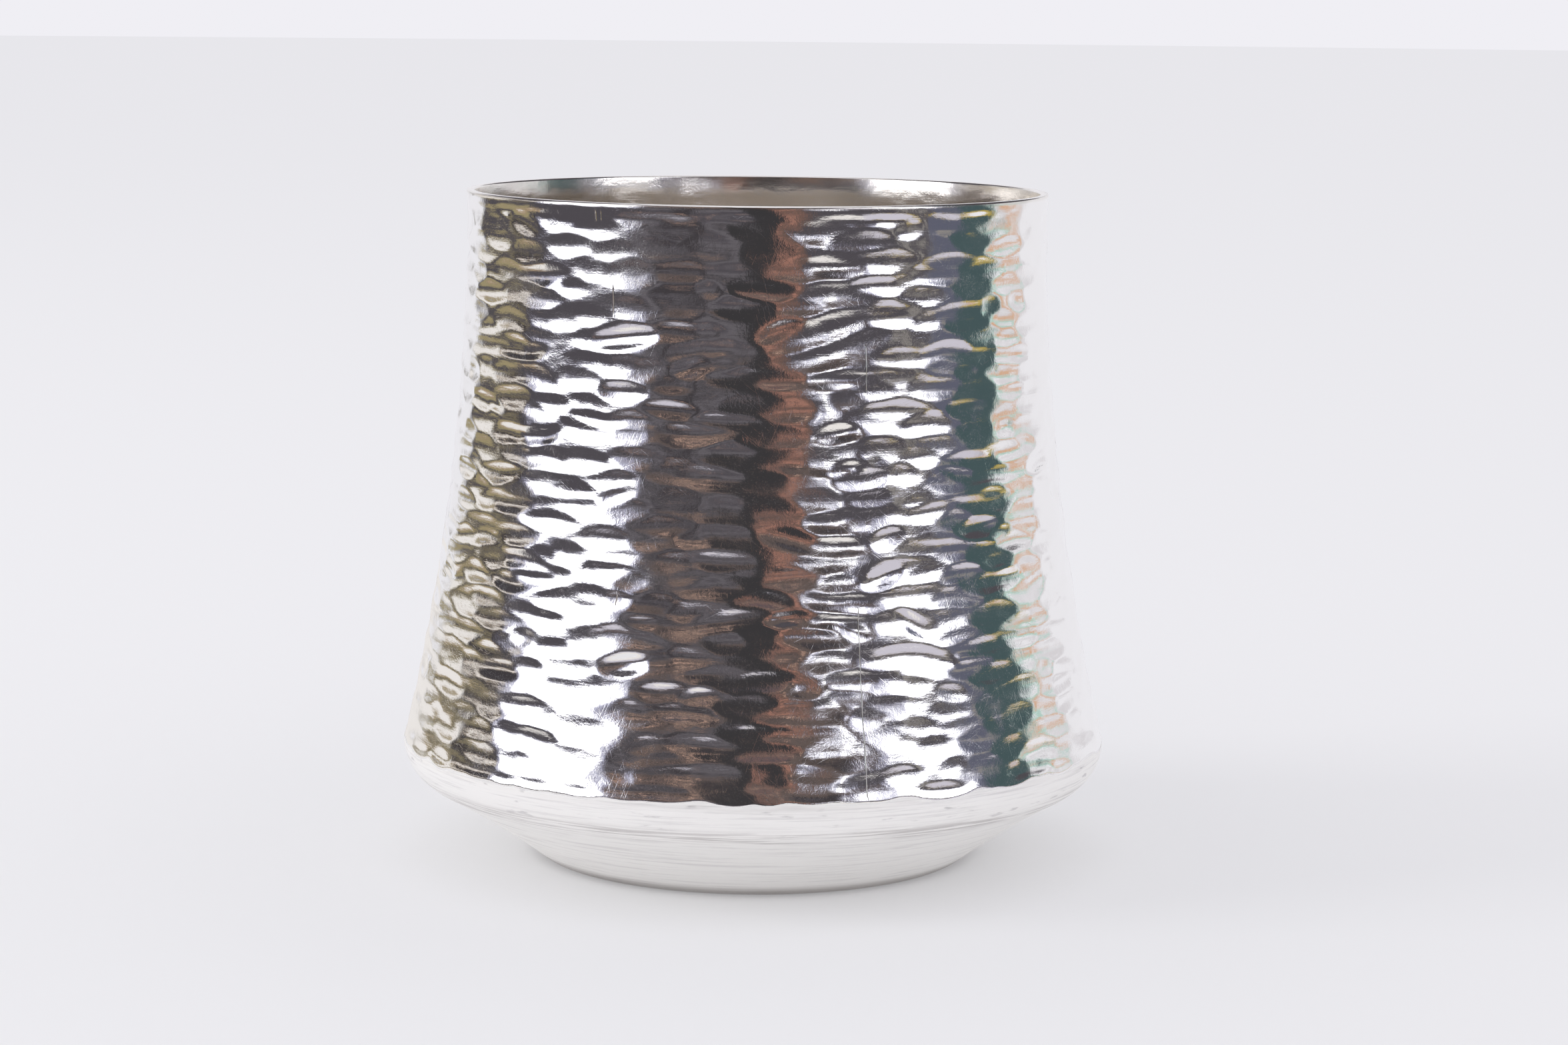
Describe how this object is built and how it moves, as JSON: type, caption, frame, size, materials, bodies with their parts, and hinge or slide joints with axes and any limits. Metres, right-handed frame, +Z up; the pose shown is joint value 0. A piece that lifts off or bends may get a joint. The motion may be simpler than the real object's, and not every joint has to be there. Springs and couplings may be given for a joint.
{
  "type": "hammered silver beaker",
  "caption": "Hammered silver beaker with a flaring wall, a sharp shoulder, a low rounded bowl and a flat underside.",
  "frame": {"origin": "centre of the flat underside, on the surface that the beaker stands on", "axes": "+Z up along the beaker's axis, from the underside to the rim"},
  "size_m": [0.0868, 0.0868, 0.082],
  "materials": {
    "silver": "polished silver, hammered on the wall and satin below the shoulder"
  },
  "bodies": {
    "root": {"beaker": "silver"}
  },
  "joints": []
}
